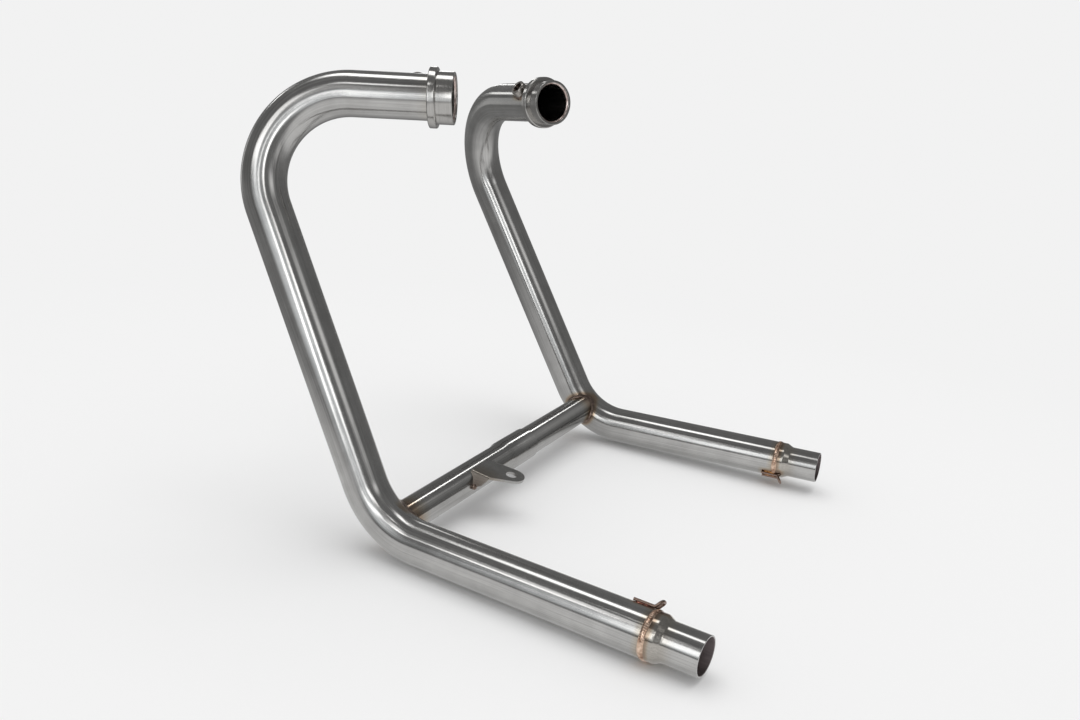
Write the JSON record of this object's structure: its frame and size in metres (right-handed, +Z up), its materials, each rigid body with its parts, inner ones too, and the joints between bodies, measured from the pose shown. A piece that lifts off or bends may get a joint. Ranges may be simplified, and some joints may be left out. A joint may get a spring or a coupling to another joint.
{
  "type": "motorcycle exhaust header",
  "caption": "Paired stainless header pipes for a twin-cylinder motorcycle, bent down and back from the ports and joined by a cross tube with a slip joint and bracket.",
  "frame": {"origin": "middle of the foot of the bounding box", "axes": "+X to the rider's left, +Y to the rear, +Z up, as it hangs on the motorcycle"},
  "size_m": [0.5524, 0.5706, 0.4677],
  "materials": {
    "stainless": "bright drawn tube, lightly brushed along its length",
    "turned_steel": "fine turned",
    "weld": "rippled bead with straw and copper heat tint",
    "wire": "drawn wire",
    "plate": "satin sheet"
  },
  "bodies": {
    "root": {"left_header_tube": "stainless", "left_port_ferrule": "turned_steel", "left_port_weld": "weld", "left_sensor_boss": "turned_steel", "left_sensor_weld": "weld", "left_outlet_reducer": "stainless", "left_outlet_weld": "weld", "left_spring_hook": "wire", "left_hook_weld": "weld", "left_cross_tube": "stainless", "left_cross_weld": "weld", "right_header_tube": "stainless", "right_port_ferrule": "turned_steel", "right_port_weld": "weld", "right_sensor_boss": "turned_steel", "right_sensor_weld": "weld", "right_outlet_reducer": "stainless", "right_outlet_weld": "weld", "right_spring_hook": "wire", "right_hook_weld": "weld", "right_cross_tube": "stainless", "right_cross_weld": "weld", "cross_bracket": "plate", "bracket_weld": "weld"}
  },
  "joints": []
}
